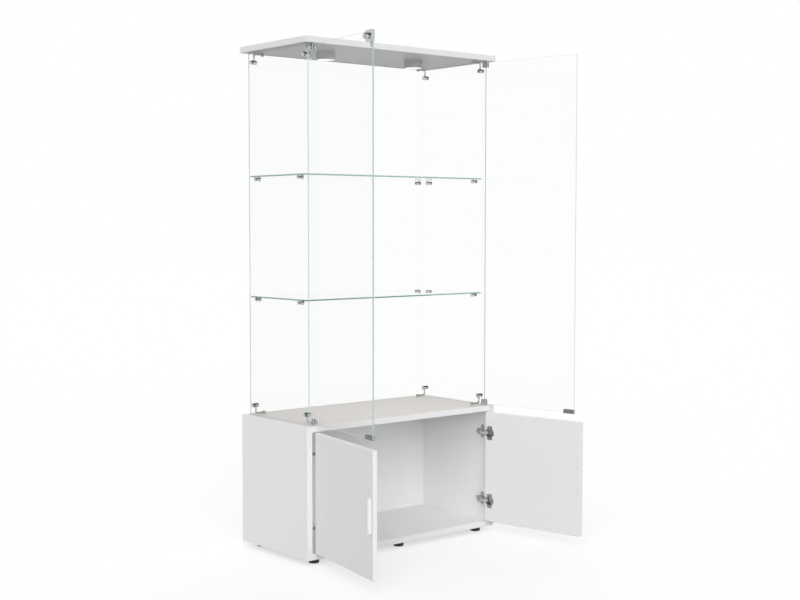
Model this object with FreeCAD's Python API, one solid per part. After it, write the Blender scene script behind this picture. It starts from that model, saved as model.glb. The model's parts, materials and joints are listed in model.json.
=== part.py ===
import FreeCAD, Part
import math
import os

# Glass display cabinet: a white carcass with two inset doors on concealed hinges carries a
# glass case with two shelves, a white roof with two puck lights and two pivoted glass doors.
# Millimetres. The origin is the middle of the footprint on the floor, X to the right as seen
# from the front, Y to the back, Z up. The doors are drawn open, as they stand in the photograph.

# Driving dimensions
cabinet_width = 900.0
cabinet_depth = 404.0
base_height = 472.0
glass_height = 1320.0
board = 22.0
door_board = 16.0
back_board = 16.0
pane = 5.0
foot_height = 20.0
glass_door_left_open = 98.5
glass_door_right_open = 100.0
base_door_open = 101.0

# Clearances and finishing
edge_bevel = 1.0
bore_fit = 0.05
running_gap = 0.3

# Feet and dowels
foot_radius = 19.5
foot_toe = 3.0
foot_side_inset = 58.0
foot_end_inset = 42.0
foot_recess_radius = 6.0
foot_recess_depth = 9.0
dowel_radius = 4.0
dowel_length = 30.0
dowel_in_side = 12.0
dowel_end_inset = 60.0

# Glass case
pane_side_inset = 23.5
pane_front_inset = 24.0
pane_back_inset = 14.5
pane_gap = 0.5
pane_hole_gap = 0.5
shelf_gap = 1.5
shelf_front_inset = 44.0
lower_shelf_rise = 432.0
upper_shelf_rise = 871.0

# Corner brackets between the glass and the boards
bracket_front_inset = 46.0
bracket_back_inset = 39.0
bracket_rise = 35.0
bracket_rod_radius = 3.0
bracket_rod_offset = 7.5
bracket_bend_radius = 8.0
bracket_head_radius = 8.0
bracket_head_length = 17.0
bracket_reach = 37.0
bracket_foot_radius = 6.0
bracket_foot_height = 11.0
bracket_cap_radius = 7.0
bracket_cap_height = 5.0
bracket_bolt_radius = 3.0
bracket_bolt_depth = 8.0

# Shelf pegs
peg_front_inset = 80.0
peg_back_inset = 61.0
peg_corner_inset = 60.0
peg_shaft_radius = 5.0
peg_shaft_length = 8.0
peg_head_radius = 7.5
peg_head_length = 9.0
peg_drop = 7.0
peg_cap_radius = 6.0
peg_cap_height = 4.0
peg_bolt_radius = 2.5
peg_bolt_depth = 7.0

# Wood screws: the same pattern in several places
screw_radius = 1.75
screw_head_radius = 3.4
screw_head_height = 2.0
screw_grip = 13.0

# Puck lights
puck_radius = 35.0
puck_height = 25.0
puck_plate = 3.0
puck_wall = 3.9
puck_ledge = 2.0
puck_spacing = 420.0
puck_round = 2.0
lens_thickness = 4.0
lens_crown = 1.5
led_radius = 14.0
led_thickness = 1.6
puck_screw_circle = 21.0

# Glass doors and their pivots
pivot_side_inset = 38.0
pivot_front_inset = 18.0
door_hinge_overhang = 9.5
door_centre_gap = 4.0
door_end_gap = 6.0
clamp_hinge_side = 8.5
clamp_free_side = 15.5
clamp_half_thickness = 6.0
clamp_hold = 18.0
clamp_bridge = 3.5
clamp_round = 2.0
pad_thickness = 0.5
pad_inset = 1.0
pivot_pin_radius = 2.5
pivot_pin_length = 8.0
bush_radius = 4.5
bush_flange_radius = 6.5
bush_depth = 11.0
clamp_screw_radius = 2.0
clamp_screw_head_radius = 3.5
clamp_screw_head_height = 2.5
clip_length = 44.0
clip_hold = 12.0
clip_bridge = 3.0
clip_wall = 3.0
clip_fit = 0.1

# Lock on the left glass door
lock_size = 38.0
lock_bridge = 3.0
lock_wall = 4.0
lock_axis_from_edge = 20.0
lock_axis_from_top = 16.0
barrel_radius = 11.0
barrel_length = 14.0
plug_radius = 7.0
plug_flange_radius = 8.5
plug_flange_height = 1.2
plug_hole_gap = 1.0
stub_radius = 3.0
key_slot_width = 1.6
key_slot_height = 8.0
key_slot_depth = 4.0
cam_reach = 36.0
cam_half_width = 6.0
cam_thickness = 2.0
lock_nut_radius = 5.5
lock_nut_height = 2.5

# Base doors
door_side_gap = 3.0
door_top_gap = 2.0
base_door_meeting_gap = 3.0

# Concealed hinges, in a frame that starts where a side's inner face meets the front plane
hinge_end_distance = 80.0
hinge_arm_pin_in = 36.0
hinge_arm_pin_back = 9.0
hinge_cup_pin_in = 7.0
hinge_cup_pin_back = 8.5
hinge_link_turn_share = 0.44
cup_radius = 17.5
cup_wall = 1.0
cup_depth = 11.5
cup_edge_distance = 3.0
cup_rim = 1.5
cup_plate_thickness = 1.2
cup_plate_half_height = 27.0
cup_plate_half_width = 11.0
cup_screw_rise = 22.5
cup_slot_half_height = 5.0
cup_slot_floor = 7.5
cup_pin_radius = 1.3
cup_pin_bite = 0.8
link_half_height = 4.0
link_half_thickness = 1.8
link_cup_eye_radius = 2.2
link_arm_eye_radius = 2.6
arm_pin_radius = 1.5
arm_cheek = 2.0
arm_cheek_gap = 0.3
arm_nose_half_width = 2.4
arm_front = 22.0
arm_bridge = 4.0
arm_back = 64.0
arm_height = 5.0
hinge_plate_thickness = 4.0
hinge_plate_front = 24.0
hinge_plate_back = 60.0
hinge_plate_half_height = 8.0
hinge_wing_half_height = 24.0
hinge_wing_front = 32.0
hinge_wing_back = 44.0
hinge_wing_round = 4.0
hinge_screw_rise = 16.0
hinge_fixing_back = 53.0

# Door handles: a low pull whose lip overhangs towards the hinge side
handle_length = 118.0
handle_edge_inset = 5.0
handle_web = 7.0
handle_width = 17.0
handle_gap = 6.0
handle_lip = 2.5
handle_round = 1.0
handle_screw_spacing = 96.0
handle_screw_bite = 5.0

# Places that follow from the sizes
V = FreeCAD.Vector
X_DIR = V(1, 0, 0)
Y_DIR = V(0, 1, 0)
Z_DIR = V(0, 0, 1)
half_width = cabinet_width / 2
front = -cabinet_depth / 2
back = cabinet_depth / 2
inner_x = half_width - board
base_floor = foot_height
base_top = foot_height + base_height
roof_floor = base_top + glass_height
roof_top = roof_floor + board
case_middle = (base_top + roof_floor) / 2
pane_outer = half_width - pane_side_inset
pane_inner = pane_outer - pane
pane_front = front + pane_front_inset
pane_back = back - pane_back_inset
back_pane_front = pane_back - pane
bracket_places = (front + bracket_front_inset, back - bracket_back_inset)
peg_places = (front + peg_front_inset, back - peg_back_inset)
peg_corner = half_width - peg_corner_inset
shelf_rises = {"lower": lower_shelf_rise, "upper": upper_shelf_rise}
foot_columns = (-half_width + foot_side_inset, 0, half_width - foot_side_inset)
foot_rows = {"front": front + foot_end_inset, "rear": back - foot_end_inset}
dowel_places = (front + dowel_end_inset, back - dowel_end_inset)
dowel_levels = (base_floor + board / 2, base_top - board / 2)
pivot = V(-half_width + pivot_side_inset, front + pivot_front_inset, 0)
door_free_edge = -door_centre_gap / 2
door_hinge_edge = pivot.x - door_hinge_overhang
glass_door_floor = base_top + door_end_gap
glass_door_top = roof_floor - door_end_gap
clamp_end = glass_door_floor - clamp_bridge
bush_flange_height = clamp_end - base_top - running_gap
lock_axis = V(door_free_edge - lock_axis_from_edge, pivot.y, glass_door_top - lock_axis_from_top)
lock_face = pivot.y - pane / 2 - lock_wall
lock_inner_face = pivot.y + pane / 2 + lock_wall
barrel_face = lock_face - barrel_length
cam_seat = lock_inner_face + running_gap
base_door_hinge_edge = -inner_x + door_side_gap
base_door_free_edge = -base_door_meeting_gap / 2
base_door_floor = base_floor + board + door_top_gap
base_door_top = base_top - board - door_top_gap
base_door_inner = front + door_board
hinge_levels = (base_door_floor + hinge_end_distance, base_door_top - hinge_end_distance)
arm_pin = V(-inner_x + hinge_arm_pin_in, front + hinge_arm_pin_back, 0)
cup_pin = V(base_door_hinge_edge + hinge_cup_pin_in, front + hinge_cup_pin_back, 0)
link_open = hinge_link_turn_share * base_door_open
cup_centre = base_door_hinge_edge + cup_edge_distance + cup_radius
cup_floor = base_door_inner - cup_depth
arm_half_height = link_half_height + arm_cheek_gap + arm_cheek
handle_middle = (base_door_floor + base_door_top) / 2
handle_outer_edge = base_door_free_edge - handle_edge_inset
handle_levels = (handle_middle - handle_screw_spacing / 2, handle_middle + handle_screw_spacing / 2)
handle_face = front - handle_gap - handle_lip


# Shape helpers
def block(x0, x1, y0, y1, z0, z1):
    return Part.makeBox(x1 - x0, y1 - y0, z1 - z0, V(x0, y0, z0))


def rod(radius, start, end):
    return Part.makeCylinder(radius, (end - start).Length, start, end - start)


def rod_y(radius, x, z, y0, y1):
    return rod(radius, V(x, y0, z), V(x, y1, z))


def rod_z(radius, x, y, z0, z1):
    return rod(radius, V(x, y, z0), V(x, y, z1))


def rod_x(radius, y, z, x0, x1):
    return rod(radius, V(x0, y, z), V(x1, y, z))


def edges_along(shape, direction):
    return [edge for edge in shape.Edges if round(abs(edge.tangentAt(edge.FirstParameter).dot(direction)))]


def bevelled_board(x0, x1, y0, y1, z0, z1):
    panel = block(x0, x1, y0, y1, z0, z1)
    return panel.makeChamfer(edge_bevel, panel.Edges)


def ring_edges(shape):
    return [edge for edge in shape.Edges if edge.isClosed()]


def turned_profile(points):
    outline = Part.makePolygon([V(radius, 0, height) for radius, height in points + points[:1]])
    return Part.Face(outline).revolve(V(0, 0, 0), Z_DIR, 360)


def flat_profile(points, z0, z1):
    outline = Part.makePolygon([V(x, y, z0) for x, y in points + points[:1]])
    return Part.Face(outline).extrude(V(0, 0, z1 - z0))


def moved(shape, x=0, y=0, z=0):
    return shape.translated(V(x, y, z))


def mirrored(shape):
    return shape.mirror(V(0, 0, 0), X_DIR)


def both_sides(shapes):
    return shapes + [mirrored(shape) for shape in shapes]


def flipped(shape):
    return shape.mirror(V(0, 0, case_middle), Z_DIR)


def turned(shape, centre, angle):
    swung = shape.copy()
    swung.rotate(centre, Z_DIR, angle)
    return swung


def turned_vector(vector, angle):
    return FreeCAD.Rotation(Z_DIR, angle).multVec(vector)


def drilled(shape, tools):
    return shape.cut(tools).Solids[0]


# Poses of the doors as drawn
def glass_door_pose(shape, right):
    angle = glass_door_right_open if right else glass_door_left_open
    swung = turned(shape, pivot, -angle)
    return mirrored(swung) if right else swung


def base_door_pose(shape):
    open_cup_pin = arm_pin + turned_vector(cup_pin - arm_pin, link_open)
    return turned(shape, cup_pin, -base_door_open).translated(open_cup_pin - cup_pin)


def link_pose(shape):
    return turned(shape, arm_pin, link_open)


def at_hinges(shape):
    return [moved(shape, z=level) for level in hinge_levels]


# Carcass
def dowel_row(radius):
    start = -inner_x - dowel_in_side
    end = start + dowel_length
    return both_sides([rod_x(radius, y, z, start, end) for y in dowel_places for z in dowel_levels])


def dowel_bores():
    return dowel_row(dowel_radius + bore_fit)


def base_side():
    side = bevelled_board(-half_width, -inner_x, front, back, base_floor, base_top)
    screws = [bore for level in hinge_levels for bore in hinge_plate_bores(level)]
    return drilled(side, dowel_bores() + screws)


def base_top_panel():
    panel = bevelled_board(-inner_x, inner_x, front, back, base_top - board, base_top)
    return drilled(panel, dowel_bores() + bracket_screw_bores() + bush_bores())


def base_bottom_panel():
    panel = bevelled_board(-inner_x, inner_x, front, back, base_floor, base_floor + board)
    screws = [foot_screw_bore(x, y) for x in foot_columns for y in foot_rows.values()]
    return drilled(panel, dowel_bores() + screws)


def base_back_panel():
    return block(-inner_x, inner_x, back - back_board, back, base_floor + board, base_top - board)


def roof_panel():
    panel = bevelled_board(-half_width, half_width, front, back, roof_floor, roof_top)
    brackets = [flipped(bore) for bore in bracket_screw_bores()]
    bushes = [flipped(bore) for bore in bush_bores()]
    pucks = [wood_screw_bore(x, y, roof_floor, screw_grip) for x, y in puck_screw_places()]
    return drilled(panel, brackets + bushes + pucks)


# Feet
def foot(x, y):
    profile = [(foot_recess_radius, 0), (foot_radius - foot_toe / 2, 0), (foot_radius, foot_toe)]
    profile += [(foot_radius, foot_height), (screw_radius + bore_fit, foot_height)]
    profile += [(screw_radius + bore_fit, foot_recess_depth), (foot_recess_radius, foot_recess_depth)]
    return moved(turned_profile(profile), x, y)


def feet(row):
    return [foot(x, foot_rows[row]) for x in foot_columns]


def foot_screw(x, y):
    head_floor = foot_recess_depth - screw_head_height
    head = rod_z(screw_head_radius, x, y, head_floor, foot_recess_depth)
    return head.fuse(rod_z(screw_radius, x, y, head_floor, foot_height + screw_grip)).removeSplitter()


def foot_screw_bore(x, y):
    return wood_screw_bore(x, y, foot_height, screw_grip)


def wood_screw_bore(x, y, face, depth):
    return rod_z(screw_radius + bore_fit, x, y, face, face + depth)


# Glass case
def side_pane():
    glass = block(-pane_outer, -pane_inner, pane_front, pane_back, base_top, roof_floor)
    holes = []
    for y in bracket_places:
        for z in (base_top + bracket_rise, roof_floor - bracket_rise):
            holes.append(rod_x(bracket_bolt_radius + pane_hole_gap, y, z, -pane_outer, -pane_inner))
    for y in peg_places:
        for rise in shelf_rises.values():
            z = base_top + rise - peg_drop
            holes.append(rod_x(peg_bolt_radius + pane_hole_gap, y, z, -pane_outer, -pane_inner))
    return drilled(glass, holes)


def back_pane():
    half = pane_inner - pane_gap
    glass = block(-half, half, back_pane_front, pane_back, base_top, roof_floor)
    holes = []
    for x in (-peg_corner, peg_corner):
        for rise in shelf_rises.values():
            z = base_top + rise - peg_drop
            holes.append(rod_y(peg_bolt_radius + pane_hole_gap, x, z, back_pane_front, pane_back))
    return drilled(glass, holes)


def shelf(rise):
    half = pane_inner - shelf_gap
    floor = base_top + rise
    return block(-half, half, front + shelf_front_inset, back_pane_front - shelf_gap, floor, floor + pane)


# Corner brackets
def bracket(y):
    rod_x_place = -pane_inner + bracket_rod_offset
    foot_middle = base_top + bracket_foot_height / 2
    head_z = base_top + bracket_rise
    bolt_end = -pane_inner + bracket_bolt_depth
    foot_x = rod_x_place + bracket_reach
    corner = V(rod_x_place + bracket_bend_radius, y, foot_middle + bracket_bend_radius)
    head = rod_x(bracket_head_radius, y, head_z, -pane_inner, -pane_inner + bracket_head_length)
    head = head.makeChamfer(edge_bevel, ring_edges(head))
    upright = rod_z(bracket_rod_radius, rod_x_place, y, corner.z, head_z)
    section = Part.Face(Part.Wire(Part.makeCircle(bracket_rod_radius, V(rod_x_place, y, corner.z), Z_DIR)))
    bend = section.revolve(corner, Y_DIR, -90)
    arm = rod_x(bracket_rod_radius, y, foot_middle, corner.x, foot_x)
    knob = rod_z(bracket_foot_radius, foot_x, y, base_top, base_top + bracket_foot_height)
    top = base_top + bracket_foot_height
    knob = knob.makeChamfer(edge_bevel, [edge for edge in ring_edges(knob) if edge.BoundBox.ZMax > foot_middle])
    body = head.multiFuse([upright, bend, arm, knob]).removeSplitter()
    tools = [rod_x(bracket_bolt_radius + bore_fit, y, head_z, -pane_inner, bolt_end)]
    tools.append(rod_z(screw_radius + bore_fit, foot_x, y, base_top, top))
    tools.append(rod_z(screw_head_radius + bore_fit, foot_x, y, top - screw_head_height, top))
    return drilled(body, tools)


def brackets():
    return both_sides([bracket(y) for y in bracket_places])


def bracket_bolt(y):
    z = base_top + bracket_rise
    cap = rod_x(bracket_cap_radius, y, z, -pane_outer - bracket_cap_height, -pane_outer)
    rim = [edge for edge in ring_edges(cap) if edge.BoundBox.Center.x < cap.CenterOfMass.x]
    cap = cap.makeChamfer(edge_bevel, rim)
    shank = rod_x(bracket_bolt_radius, y, z, -pane_outer, -pane_inner + bracket_bolt_depth)
    return cap.fuse(shank).removeSplitter()


def bracket_bolts():
    lower = both_sides([bracket_bolt(y) for y in bracket_places])
    return lower + [flipped(bolt) for bolt in lower]


def bracket_screw_places():
    x = -pane_inner + bracket_rod_offset + bracket_reach
    return [(side, y) for side in (x, -x) for y in bracket_places]


def bracket_screw_bores():
    return [wood_screw_bore(x, y, base_top - screw_grip, screw_grip) for x, y in bracket_screw_places()]


def bracket_screws():
    top = base_top + bracket_foot_height
    lower = []
    for x, y in bracket_screw_places():
        head = rod_z(screw_head_radius, x, y, top - screw_head_height, top)
        shank = rod_z(screw_radius, x, y, base_top - screw_grip, top)
        lower.append(head.fuse(shank).removeSplitter())
    return lower + [flipped(screw) for screw in lower]


# Shelf pegs, drawn along +X from a pane whose inner face is at x = 0
def peg_shape():
    end = peg_shaft_length + peg_head_length
    head = rod_x(peg_head_radius, 0, 0, peg_shaft_length, end)
    head = head.makeChamfer(edge_bevel, ring_edges(head))
    body = head.fuse(rod_x(peg_shaft_radius, 0, 0, 0, end - edge_bevel)).removeSplitter()
    flat = block(0, end, -peg_head_radius, peg_head_radius, peg_drop, peg_head_radius)
    return drilled(body, [flat, rod_x(peg_bolt_radius + bore_fit, 0, 0, 0, peg_bolt_depth)])


def peg_bolt_shape():
    cap = rod_x(peg_cap_radius, 0, 0, -pane - peg_cap_height, -pane)
    rim = [edge for edge in ring_edges(cap) if edge.BoundBox.Center.x < cap.CenterOfMass.x]
    cap = cap.makeChamfer(edge_bevel, rim)
    return cap.fuse(rod_x(peg_bolt_radius, 0, 0, -pane, peg_bolt_depth)).removeSplitter()


def round_the_shelf(shape, rise):
    z = base_top + rise - peg_drop
    sides = both_sides([moved(shape, -pane_inner, y, z) for y in peg_places])
    facing_front = turned(shape, V(0, 0, 0), -90)
    return sides + both_sides([moved(facing_front, -peg_corner, back_pane_front, z)])


def shelf_pegs(rise):
    return round_the_shelf(peg_shape(), rise)


def peg_bolts():
    return [bolt for rise in shelf_rises.values() for bolt in round_the_shelf(peg_bolt_shape(), rise)]


# Puck lights
def puck_housing():
    floor = roof_floor - puck_height
    lens_radius = puck_radius - puck_wall + bore_fit
    ledge = floor + lens_thickness
    profile = [(0, roof_floor), (puck_radius, roof_floor), (puck_radius, floor + puck_round)]
    profile += [(puck_radius - puck_round, floor), (lens_radius, floor), (lens_radius, ledge)]
    profile += [(lens_radius - puck_ledge, ledge), (lens_radius - puck_ledge, roof_floor - puck_plate)]
    profile += [(0, roof_floor - puck_plate)]
    shell = moved(turned_profile(profile), -puck_spacing / 2)
    holes = [wood_screw_bore(x, y, roof_floor - puck_plate, puck_plate) for x, y in puck_screw_places()]
    return drilled(shell, holes)


def puck_lens():
    radius = puck_radius - puck_wall
    floor = roof_floor - puck_height
    crown = Part.Arc(V(0, 0, floor - lens_crown), V(radius / 2, 0, floor - lens_crown * (1 - (1 / 2) ** 2)),
                     V(radius, 0, floor)).toShape()
    top = Part.makePolygon([V(radius, 0, floor), V(radius, 0, floor + lens_thickness),
                            V(0, 0, floor + lens_thickness), V(0, 0, floor - lens_crown)])
    section = Part.Face(Part.Wire([crown] + top.Edges))
    return moved(section.revolve(V(0, 0, 0), Z_DIR, 360), -puck_spacing / 2)


def led_board():
    top = roof_floor - puck_plate
    return rod_z(led_radius, -puck_spacing / 2, 0, top - led_thickness, top)


def puck_screw_places():
    columns = (-puck_spacing / 2, puck_spacing / 2)
    return [(x, y) for x in columns for y in (-puck_screw_circle, puck_screw_circle)]


def puck_screws():
    screws = []
    seat = roof_floor - puck_plate
    for x, y in puck_screw_places():
        head = rod_z(screw_head_radius, x, y, seat - screw_head_height, seat)
        shank = rod_z(screw_radius, x, y, seat, roof_floor + screw_grip)
        screws.append(head.fuse(shank).removeSplitter())
    return screws


# Pivots of the glass doors
def bush():
    radius = pivot_pin_radius + bore_fit
    flange_top = base_top + bush_flange_height
    floor = base_top - bush_depth
    profile = [(radius, floor), (bush_radius, floor), (bush_radius, base_top)]
    profile += [(bush_flange_radius, base_top), (bush_flange_radius, flange_top), (radius, flange_top)]
    return moved(turned_profile(profile), pivot.x, pivot.y)


def bushes():
    lower = both_sides([bush()])
    return lower + [flipped(shape) for shape in lower]


def bush_bores():
    radius = bush_radius + bore_fit
    return both_sides([rod_z(radius, pivot.x, pivot.y, base_top - bush_depth, base_top)])


def pivot_clamp():
    slot = pane / 2 + pad_thickness
    top = glass_door_floor + clamp_hold
    left = pivot.x - clamp_hinge_side
    right = pivot.x + clamp_free_side
    half = clamp_half_thickness
    body = block(left, right, pivot.y - half, pivot.y + half, clamp_end, top)
    body = body.makeFillet(clamp_round, edges_along(body, Z_DIR))
    cut = block(left, right, pivot.y - slot, pivot.y + slot, glass_door_floor, top)
    pin = rod_z(pivot_pin_radius, pivot.x, pivot.y, base_top - pivot_pin_length, clamp_end)
    bore = rod_y(clamp_screw_radius + bore_fit, clamp_screw_x(), clamp_screw_z(), pivot.y + slot,
                 pivot.y + half)
    return drilled(body.fuse(pin), [cut, bore]).removeSplitter()


def clamp_screw_x():
    return pivot.x + (clamp_free_side - clamp_hinge_side) / 2


def clamp_screw_z():
    return glass_door_floor + clamp_hold / 2


def clamp_pads():
    left = pivot.x - clamp_hinge_side + pad_inset
    right = pivot.x + clamp_free_side - pad_inset
    top = glass_door_floor + clamp_hold - pad_inset
    pads = []
    for start in (pivot.y - pane / 2 - pad_thickness, pivot.y + pane / 2):
        pads.append(block(left, right, start, start + pad_thickness, glass_door_floor + pad_inset, top))
    return pads


def clamp_screw():
    x = clamp_screw_x()
    z = clamp_screw_z()
    seat = pivot.y + clamp_half_thickness
    shank = rod_y(clamp_screw_radius, x, z, pivot.y + pane / 2 + pad_thickness, seat)
    head = rod_y(clamp_screw_head_radius, x, z, seat, seat + clamp_screw_head_height)
    return shank.fuse(head).removeSplitter()


def top_and_bottom(shapes, right):
    return [glass_door_pose(shape, right) for lower in shapes for shape in (lower, flipped(lower))]


# Glass doors with their fittings
def glass_door(right):
    outer = pivot.y - pane / 2
    inner = pivot.y + pane / 2
    glass = block(door_hinge_edge, door_free_edge, outer, inner, glass_door_floor, glass_door_top)
    hole = rod_y(plug_radius + plug_hole_gap, lock_axis.x, lock_axis.z, outer, inner)
    return glass_door_pose(glass if right else drilled(glass, [hole]), right)


def door_clip(right):
    slot = pane / 2 + clip_fit
    outer = slot + clip_wall
    floor = glass_door_floor - clip_bridge
    top = glass_door_floor + clip_hold
    start = door_free_edge - clip_length
    body = block(start, door_free_edge, pivot.y - outer, pivot.y + outer, floor, top)
    body = body.makeChamfer(edge_bevel, body.Edges)
    cut = block(start, door_free_edge, pivot.y - slot, pivot.y + slot, glass_door_floor, top)
    return glass_door_pose(drilled(body, [cut]), right)


def lock_body():
    slot = pane / 2 + clip_fit
    floor = glass_door_top + lock_bridge - lock_size
    start = door_free_edge - lock_size
    body = block(start, door_free_edge, lock_face, lock_inner_face, floor, glass_door_top + lock_bridge)
    body = body.makeChamfer(edge_bevel, body.Edges)
    barrel = rod_y(barrel_radius, lock_axis.x, lock_axis.z, barrel_face, pivot.y - pane / 2)
    rim = [edge for edge in ring_edges(barrel) if edge.BoundBox.Center.y < lock_face]
    barrel = barrel.makeChamfer(edge_bevel, rim)
    cut = block(start, door_free_edge, pivot.y - slot, pivot.y + slot, floor, glass_door_top)
    bore = rod_y(plug_radius + bore_fit, lock_axis.x, lock_axis.z, barrel_face, lock_inner_face)
    return glass_door_pose(drilled(body.fuse(barrel), [cut, bore]), False)


def lock_cylinder():
    flange_seat = barrel_face - running_gap
    tip = flange_seat - plug_flange_height
    x = lock_axis.x
    z = lock_axis.z
    flange = rod_y(plug_flange_radius, x, z, tip, flange_seat)
    plug = rod_y(plug_radius, x, z, tip, cam_seat)
    stub = rod_y(stub_radius, x, z, cam_seat, cam_seat + cam_thickness + lock_nut_height)
    slot = block(x - key_slot_width / 2, x + key_slot_width / 2, tip, tip + key_slot_depth,
                 z - key_slot_height / 2, z + key_slot_height / 2)
    return glass_door_pose(drilled(flange.multiFuse([plug, stub]).removeSplitter(), [slot]), False)


def lock_cam():
    x = lock_axis.x
    z = lock_axis.z
    end = cam_seat + cam_thickness
    tip = z - cam_reach + cam_half_width
    hub = rod_y(plug_radius, x, z, cam_seat, end)
    arm = block(x - cam_half_width, x + cam_half_width, cam_seat, end, tip, z)
    nose = rod_y(cam_half_width, x, tip, cam_seat, end)
    bore = rod_y(stub_radius + bore_fit, x, z, cam_seat, end)
    return glass_door_pose(drilled(hub.multiFuse([arm, nose]).removeSplitter(), [bore]), False)


def lock_nut():
    start = cam_seat + cam_thickness
    outer = rod_y(lock_nut_radius, lock_axis.x, lock_axis.z, start, start + lock_nut_height)
    bore = rod_y(stub_radius + bore_fit, lock_axis.x, lock_axis.z, start, start + lock_nut_height)
    return glass_door_pose(drilled(outer, [bore]), False)


# Base doors
def cup_pocket(level):
    pocket = rod_y(cup_radius + bore_fit, cup_centre, level, cup_floor, base_door_inner)
    notch = block(base_door_hinge_edge, cup_centre, front + cup_slot_floor, base_door_inner,
                  level - cup_slot_half_height, level + cup_slot_half_height)
    return [pocket, notch] + [moved(bore, z=level) for bore in cup_screw_bores()]


def base_door():
    panel = bevelled_board(base_door_hinge_edge, base_door_free_edge, front, base_door_inner,
                          base_door_floor, base_door_top)
    tools = [tool for level in hinge_levels for tool in cup_pocket(level)]
    return drilled(panel, tools + handle_screw_bores(front, base_door_inner))


def handle_screw_x():
    return handle_outer_edge - handle_web / 2


def handle_screw_bores(start, end):
    return [rod_y(screw_radius + bore_fit, handle_screw_x(), z, start, end) for z in handle_levels]


def handle():
    inner = handle_outer_edge - handle_width
    web = handle_outer_edge - handle_web
    points = [(handle_outer_edge, front), (handle_outer_edge, handle_face), (inner, handle_face)]
    points += [(inner, handle_face + handle_lip), (web, handle_face + handle_lip), (web, front)]
    half = handle_length / 2
    profile = flat_profile(points, handle_middle - half, handle_middle + half)
    outer = [edge for edge in profile.Edges if edge.BoundBox.YMax < handle_face + handle_lip / 2]
    profile = profile.makeFillet(handle_round, outer)
    return drilled(profile, handle_screw_bores(front - handle_screw_bite, front))


def handle_screws():
    screws = []
    for z in handle_levels:
        x = handle_screw_x()
        head = rod_y(screw_head_radius, x, z, base_door_inner, base_door_inner + screw_head_height)
        shank = rod_y(screw_radius, x, z, front - handle_screw_bite, base_door_inner)
        screws.append(head.fuse(shank).removeSplitter())
    return screws


# Concealed hinges, drawn closed at z = 0 on the left side
def hinge_cup():
    floor = cup_floor
    plate_top = base_door_inner + cup_plate_thickness
    inner = cup_radius - cup_wall
    shell = rod_y(cup_radius, cup_centre, 0, floor, base_door_inner)
    rim = rod_y(cup_radius + cup_rim, cup_centre, 0, base_door_inner, plate_top)
    left = cup_centre - cup_plate_half_width
    right = cup_centre + cup_plate_half_width
    plate = block(left, right, base_door_inner, plate_top, -cup_plate_half_height, cup_plate_half_height)
    plate = plate.makeFillet(cup_plate_half_width / 2, edges_along(plate, Y_DIR))
    body = shell.multiFuse([rim, plate]).removeSplitter()
    hollow = rod_y(inner, cup_centre, 0, floor + cup_wall, plate_top)
    notch = block(base_door_hinge_edge, cup_centre, front + cup_slot_floor, plate_top,
                  -cup_slot_half_height, cup_slot_half_height)
    body = drilled(body, [hollow, notch] + cup_screw_bores())
    reach = math.sqrt(inner ** 2 - (cup_centre - cup_pin.x) ** 2) + cup_pin_bite
    pin = rod_z(cup_pin_radius, cup_pin.x, cup_pin.y, -reach, reach).common(shell)
    return body.fuse(pin).removeSplitter()


def cup_screw_bores():
    seat = base_door_inner + cup_plate_thickness
    radius = screw_radius + bore_fit
    levels = (-cup_screw_rise, cup_screw_rise)
    return [rod_y(radius, cup_centre, z, seat - screw_grip, seat) for z in levels]


def cup_screws():
    seat = base_door_inner + cup_plate_thickness
    screws = []
    for z in (-cup_screw_rise, cup_screw_rise):
        head = rod_y(screw_head_radius, cup_centre, z, seat, seat + screw_head_height)
        shank = rod_y(screw_radius, cup_centre, z, seat - screw_grip, seat)
        screws.append(head.fuse(shank).removeSplitter())
    return screws


def hinge_link():
    along = cup_pin - arm_pin
    across = along.cross(Z_DIR).normalize() * link_half_thickness
    corners = [arm_pin + across, cup_pin + across, cup_pin - across, arm_pin - across]
    strap = flat_profile([(corner.x, corner.y) for corner in corners], -link_half_height, link_half_height)
    cup_eye = rod_z(link_cup_eye_radius, cup_pin.x, cup_pin.y, -link_half_height, link_half_height)
    arm_eye = rod_z(link_arm_eye_radius, arm_pin.x, arm_pin.y, -link_half_height, link_half_height)
    cup_bore = rod_z(cup_pin_radius + bore_fit, cup_pin.x, cup_pin.y, -link_half_height, link_half_height)
    arm_bore = rod_z(arm_pin_radius + bore_fit, arm_pin.x, arm_pin.y, -link_half_height, link_half_height)
    return drilled(strap.multiFuse([cup_eye, arm_eye]).removeSplitter(), [cup_bore, arm_bore])


def hinge_arm():
    side = -inner_x + hinge_plate_thickness
    top = side + arm_height
    nose_left = arm_pin.x - arm_nose_half_width
    nose_right = arm_pin.x + arm_nose_half_width
    bend = front + arm_front
    points = [(side, front + arm_back), (side, bend), (nose_left, bend), (nose_left, arm_pin.y)]
    points += [(nose_right, arm_pin.y), (nose_right, bend + arm_bridge), (top, bend + arm_bridge)]
    points += [(top, front + arm_back)]
    body = flat_profile(points, -arm_half_height, arm_half_height)
    tip = rod_z(arm_nose_half_width, arm_pin.x, arm_pin.y, -arm_half_height, arm_half_height)
    fork = link_half_height + arm_cheek_gap
    gap = block(nose_left, nose_right, arm_pin.y - arm_nose_half_width, bend, -fork, fork)
    fixing = rod_x(screw_radius + bore_fit, front + hinge_fixing_back, 0, side, top)
    body = drilled(body.fuse(tip).removeSplitter(), [gap, fixing])
    pin = rod_z(arm_pin_radius, arm_pin.x, arm_pin.y, -arm_half_height, arm_half_height)
    return body.fuse(pin).removeSplitter()


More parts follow.
